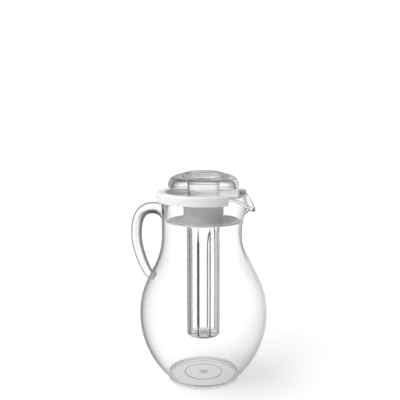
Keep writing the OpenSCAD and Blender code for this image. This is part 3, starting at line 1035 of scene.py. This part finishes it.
def clear_plastic(name, plain, shaded):
    """Clear moulded plastic, with painted shade in its colour. Its walls go grey where they are seen along
    their surface, as the stops of plain say, as those of shaded say where the mesh carries a painted shade,
    and hardly at all where that shade is below 0, which paints them lighter. The lamps and the floor's light
    pass straight through it, and so does a ray that is trapped in it."""
    made, tree = material(name)
    glass = add(tree, "ShaderNodeBsdfPrincipled", {
        "IOR": plastic_ior, "Transmission Weight": 1, "Specular Tint": grey(plastic_tint)})
    tree.links.new(remap(tree, noise(tree, scale=35), low=0, high=0.006), glass.inputs["Roughness"])
    facing = add(tree, "ShaderNodeLayerWeight", {"Blend": 0.5}).outputs["Facing"]
    shade = add(tree, "ShaderNodeAttribute", attribute_name="shade").outputs["Fac"]
    # Painted shade: grey by how far a wall is seen along its surface, darker where the mesh carries painted
    # shade
    tone = mix_colours(
        tree, link_math(tree, "MAXIMUM", shade, 0),
        tone_ramp(tree, facing, plain), tone_ramp(tree, facing, shaded))
    # Painted light: a near white in place of that grey where the mesh's shade is below 0
    bare = link_math(tree, "MAXIMUM", link_math(tree, "MULTIPLY", shade, -1), 0)
    tree.links.new(mix_colours(tree, bare, tone, lightened_tone), glass.inputs["Base Color"])
    grain(tree, glass, strength=0.1, depth=0.02, scale=20, detail=1)
    ray = add(tree, "ShaderNodeLightPath").outputs
    passing = link_math(tree, "MAXIMUM", ray["Is Shadow Ray"], ray["Is Diffuse Ray"])
    trapped = link_math(tree, "GREATER_THAN", ray["Ray Depth"], deepest_ray)
    through = add(tree, "ShaderNodeBsdfTransparent", {"Color": grey(plastic_shadow)})
    out = surface(tree, mix_shaders(tree, link_math(tree, "MAXIMUM", passing, trapped), glass, through))
    inside = add(tree, "ShaderNodeVolumeAbsorption", {
        "Color": grey(plastic_depth_tone), "Density": plastic_density})
    tree.links.new(inside.outputs[0], out.inputs["Volume"])
    return made


def white_plastic(name):
    """Satin white plastic with a fine moulded grain."""
    made, tree = material(name)
    shell = add(tree, "ShaderNodeBsdfPrincipled", {
        "IOR": plastic_ior, "Subsurface Weight": 0.15, "Subsurface Radius": (1, 1, 1),
        "Subsurface Scale": 2 * MM})
    mottle(
        tree, shell, tones=((0.83, 0.83, 0.82), (0.87, 0.87, 0.865)), tone_scale=60,
        roughness=(0.34, 0.44), rough_scale=900)
    grain(tree, shell, strength=0.25, depth=0.05, scale=2500)
    surface(tree, shell)
    return made


def silicone(name):
    """Milky translucent silicone."""
    made, tree = material(name)
    rubber = add(tree, "ShaderNodeBsdfPrincipled", {
        "IOR": silicone_ior, "Transmission Weight": 0.35, "Subsurface Weight": 0.5,
        "Subsurface Radius": (1, 1, 1), "Subsurface Scale": 3 * MM})
    mottle(
        tree, rubber, tones=((0.78, 0.79, 0.78), (0.84, 0.85, 0.84)), tone_scale=120,
        roughness=(0.42, 0.56), rough_scale=700)
    surface(tree, rubber)
    return made


# Painted shade that the meshes of clear pieces carry: darker lines and patches on steps, corners, grooves and
# hollows, and lighter places on the rim and where the handle meets the wall

# Painted contact shadow along the foot's lower edge, where it stands on the floor
foot_line_r = 44.9
foot_line_w = 0.6
belly_shade = 0.1
belly_shade_h = 4
boss_shade = 0.6
corner_shade = 0.5
corner_line_r = 45.5
corner_line_w = 1.3
shade_margin = 0.1
handle_shade_steps = 120
handle_shade_slope = 8
groove_half_angle = 3
cap_shade_share = 0.8


def paint(piece, share_at):
    """Stores a painted shade from -1 to 1 at every point of the mesh, worked out from its place in
    millimetres.
    """
    places = np.empty(len(piece.data.vertices) * 3)
    piece.data.vertices.foreach_get("co", places)
    shade = piece.data.attributes.new("shade", "FLOAT", "POINT")
    shade.data.foreach_set("value", share_at(places.reshape(-1, 3) / MM).astype(float))


def line(value, middle, half_width):
    """1 on a line, falling off to 0 at half its width."""
    return np.clip(1 - np.abs(value - middle) / half_width, 0, 1)


def broad_line(value, middle, half_width):
    """The same with a flat top, 1 over the inner half."""
    return np.minimum(1, 2 * line(value, middle, half_width))


def jug_shade(p):
    """1 on the step under the floor and along the foot's lower edge, less on the boss, the floor's corner and
    above the groove, and -1 along the rim: painted shade on the step, the corner and the belly, a painted
    contact shadow along the foot's edge, a darker boss, and a bead painted lighter."""
    r = np.hypot(p[:, 0], p[:, 1])
    z = p[:, 2]
    # Painted shade on the step under the floor; the boss is made darker as a whole
    under = np.maximum(broad_line(r, base_disc_d / 2, step_line), boss_shade * (r < base_boss_d / 2))
    under *= np.abs(z - foot_hollow) < base_disc_t + shade_margin
    outside = r > foot_r + foot_bulge - foot_round - shade_margin
    # Painted contact shadow along the foot's lower edge, where it stands on the floor
    lower_edge = broad_line(r, foot_line_r, foot_line_w) * (z < 2 * edge)
    in_corner = (z > floor_z - shade_margin) * (z < floor_z + floor_corner)
    # Painted shade in the floor's corner
    corner = corner_shade * line(r, corner_line_r, corner_line_w) * in_corner
    # Painted shade on the belly above the groove
    above = belly_shade * line(z, foot_round + groove_w, belly_shade_h) * outside
    # The rim's bead is painted lighter
    return under + corner + np.maximum(lower_edge, above) - np.clip(z - bead_z + bead_d, 0, 1)


def handle_shade(p):
    """Painted shade: 1 on the half of the bar that faces the jug, in place of the dark band that the bar's
    refraction shows, and -1 at the wall, which paints the handle's ends lighter there.
    """
    steps = np.linspace(1, handle_last, handle_shade_steps)
    centres = np.array([handle_centre(i) for i in steps])
    ways = np.array([handle_way(i) for i in steps])
    gap = p[:, None, [0, 2]] - centres[None]
    nearest = np.argmin(np.linalg.norm(gap, axis=2), axis=1)
    gap = gap[np.arange(len(p)), nearest]
    way = ways[nearest]
    inner = way[:, 0] * gap[:, 1] - way[:, 1] * gap[:, 0]
    off_wall = (-neck_r - p[:, 0]) / pad_rise
    facing = np.clip(inner / handle_d * handle_shade_slope, 0, 1)
    return facing * np.clip(off_wall, 0, 1) - np.clip(1 - 2 * off_wall, 0, 1)


def tube_shade(p):
    """Painted shade: 1 in the grooves between the lobes, which darkens them."""
    off = (np.degrees(np.arctan2(p[:, 1], p[:, 0])) + 180 / lobes) % (360 / lobes) - 180 / lobes
    fluted = (p[:, 2] < shoulder_z - core_wall) & (p[:, 2] > core_z + core_bevel)
    return broad_line(off, 0, groove_half_angle) * fluted


def knob_shade(p):
    """Painted shade: 1 on the hollow side of the cap, which darkens its walls there where they are seen along
    their surface.
    """
    r = np.hypot(p[:, 0], p[:, 1])
    in_hollow = (r > stem_r) * (r < knob_d / 2 - knob_wall + shade_margin)
    return in_hollow * (p[:, 2] < cap_z + (knob_h - knob_wall) * cap_shade_share)


# The pieces, each on its body and in place of its node

def place(piece, node, body, look):
    """Gives a piece its look, hides the node it stands in for and puts the piece on its body."""
    piece.data.materials.clear()
    piece.data.materials.append(look)
    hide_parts(node)
    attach(piece, body)


jug_material = clear_plastic("clear_jug", jug_edge_shade, jug_shaded)
handle_material = clear_plastic("clear_handle", handle_edge_shade, handle_shaded)
core_material = clear_plastic("clear_core", core_edge_shade, core_shaded)
knob_material = clear_plastic("clear_knob", knob_edge_shade, knob_shaded)
lid_material = white_plastic("white_lid")
seal_material = silicone("seal_silicone")

jug_shell = make_jug()
paint(jug_shell, jug_shade)
place(jug_shell, "jug_body", "jug", jug_material)
handle = make_handle()
paint(handle, handle_shade)
place(handle, "jug_handle", "jug", handle_material)
lid = make_lid()
cut(lid, [notch_cutter()])
place(lid, "lid", "lid", lid_material)
strainer = make_strainer()
cut(strainer, hole_cutters())
place(strainer, "strainer", "lid", lid_material)
knob = make_knob()
paint(knob, knob_shade)
place(knob, "knob", "knob", knob_material)
tube = make_tube()
paint(tube, tube_shade)
place(tube, "ice_tube", "tube", core_material)
place(make_knob_seal(), "knob_seal", "knob_carrier", seal_material)
place(make_core_seal(), "ice_tube_seal", "tube_carrier", seal_material)


# Camera: the photograph's own, fitted to the rim, the foot and the outline of the jug

image_px = 400
focal_px = 650
axis_px = 203.5
camera_azimuth = 20
camera_pitch = 8.08
camera_distance = 827.7
camera_height = 354
camera_clip = 10
sensor_w = 36

right = Vector((cos(radians(camera_azimuth)), sin(radians(camera_azimuth)), 0))
away = Vector((-sin(radians(camera_azimuth)), cos(radians(camera_azimuth)), 0))
up = Vector((0, 0, 1))

scene = bpy.context.scene


def make_camera():
    """The scene's only camera. Its shift puts the optical axis where the photograph has it."""
    data = bpy.data.cameras.new("camera")
    data.sensor_width = sensor_w
    data.lens = focal_px / image_px * sensor_w
    data.clip_start = camera_clip * MM
    data.shift_x = -(axis_px - image_px / 2) / image_px
    camera = bpy.data.objects.new("camera", data)
    camera.location = (camera_height * up - camera_distance * away) * MM
    camera.rotation_euler = (radians(90 - camera_pitch), 0, radians(camera_azimuth))
    scene.collection.objects.link(camera)
    scene.camera = camera


make_camera()


# Room: a white floor, a white world that is darker to one side where it is mirrored, and two soft lamps

scene.view_settings.view_transform = "Standard"
scene.cycles.max_bounces = 40
scene.cycles.transmission_bounces = 40
scene.cycles.glossy_bounces = 24
scene.cycles.transparent_max_bounces = 40

dark_side = (away - right).normalized()
dark_tone = 0.5
world_dark = (0.3, 0.8)
floor_dark = (0.25, 0.9)
horizon_tone = 0.75
horizon_rise = 0.6
ground_tone = 0.7
fill_level = 0.22
fill_slope = 0.5
fill_way = (-0.85 * right - 0.2 * away + 0.45 * up).normalized()
floor_gap = 0.2
floor_half = 6000
floor_albedo = 0.8
floor_glow = 0.36
window_energy = 1.95
window_spread = 45
window_way = -0.61 * right - 0.54 * away + 0.57 * up
ceiling_energy = 1.2
ceiling_spread = 40
ceiling_way = -0.5 * right + 0.15 * away + up


def seen(tree):
    """1 for rays that show the room, straight to the camera, mirrored or through clear plastic, and how often
    a path was mirrored, up to 1."""
    ray = add(tree, "ShaderNodeLightPath").outputs
    shown = link_math(tree, "MAXIMUM", ray["Is Camera Ray"], ray["Is Glossy Ray"])
    shown = link_math(tree, "MAXIMUM", shown, ray["Is Transmission Ray"])
    return shown, link_math(tree, "MINIMUM", ray["Glossy Depth"], 1)


def towards(tree, way, direction):
    """How far a way points in a direction, from -1 to 1."""
    node = add(tree, "ShaderNodeVectorMath", operation="DOT_PRODUCT")
    tree.links.new(way, node.inputs[0])
    node.inputs[1].default_value = direction
    return node.outputs["Value"]


def make_world():
    """Shows the room, and lights it with a weak fill that leans to the left."""
    world = bpy.data.worlds.new("studio")
    world.use_nodes = True
    tree = world.node_tree
    tree.nodes.clear()
    shown, mirrored = seen(tree)
    way = add(tree, "ShaderNodeTexCoord").outputs["Generated"]
    height = add(tree, "ShaderNodeSeparateXYZ")
    tree.links.new(way, height.inputs[0])
    side = remap(tree, towards(tree, way, dark_side), 1, dark_tone, *world_dark)
    rise = remap(tree, height.outputs["Z"], horizon_tone, 1, 0, horizon_rise)
    tone = mix_colours(tree, mirrored, 1, link_math(tree, "MULTIPLY", side, rise))
    background = add(tree, "ShaderNodeBackground")
    tree.links.new(tone, background.inputs["Color"])
    fill = add(tree, "ShaderNodeBackground", {"Color": grey(1)})
    slope = towards(tree, way, fill_way)
    strength = link_math(tree, "MULTIPLY_ADD", slope, fill_slope * fill_level, fill_level)
    tree.links.new(strength, fill.inputs["Strength"])
    surface(tree, mix_shaders(tree, shown, fill, background), "ShaderNodeOutputWorld")
    scene.world = world


def make_floor():
    """A matt white floor that glows a little where it is shown, to stay as white as the photograph's."""
    mesh = bpy.data.meshes.new("floor")
    corners = ((-1, -1), (1, -1), (1, 1), (-1, 1))
    mesh.from_pydata(
        [(x * floor_half * MM, y * floor_half * MM, -floor_gap * MM) for x, y in corners],
        [], [(0, 1, 2, 3)])
    floor = bpy.data.objects.new("floor", mesh)
    scene.collection.objects.link(floor)
    made, tree = material("white_floor")
    shown, mirrored = seen(tree)
    way = add(tree, "ShaderNodeVectorMath", operation="NORMALIZE")
    tree.links.new(add(tree, "ShaderNodeNewGeometry").outputs["Position"], way.inputs[0])
    side = remap(
        tree, towards(tree, way.outputs[0], dark_side), ground_tone, ground_tone * dark_tone, *floor_dark)
    side = mix_colours(tree, mirrored, 1, side)
    matt = add(tree, "ShaderNodeBsdfDiffuse")
    tree.links.new(mix_colours(tree, side, 0, floor_albedo), matt.inputs["Color"])
    glow = add(tree, "ShaderNodeEmission")
    tree.links.new(side, glow.inputs["Color"])
    tree.links.new(link_math(tree, "MULTIPLY", shown, floor_glow), glow.inputs["Strength"])
    both = add(tree, "ShaderNodeAddShader")
    tree.links.new(matt.outputs[0], both.inputs[0])
    tree.links.new(glow.outputs[0], both.inputs[1])
    surface(tree, both)
    mesh.materials.append(made)


def add_lamp(name, energy, spread, direction):
    """A soft lamp from a direction, which neither gloss nor clear plastic shows."""
    data = bpy.data.lights.new(name, "SUN")
    data.energy = energy
    data.angle = radians(spread)
    lamp = bpy.data.objects.new(name, data)
    lamp.rotation_euler = direction.to_track_quat("Z", "Y").to_euler()
    lamp.visible_glossy = False
    lamp.visible_transmission = False
    scene.collection.objects.link(lamp)


make_world()
make_floor()
add_lamp("window", window_energy, window_spread, window_way)
add_lamp("ceiling", ceiling_energy, ceiling_spread, ceiling_way)
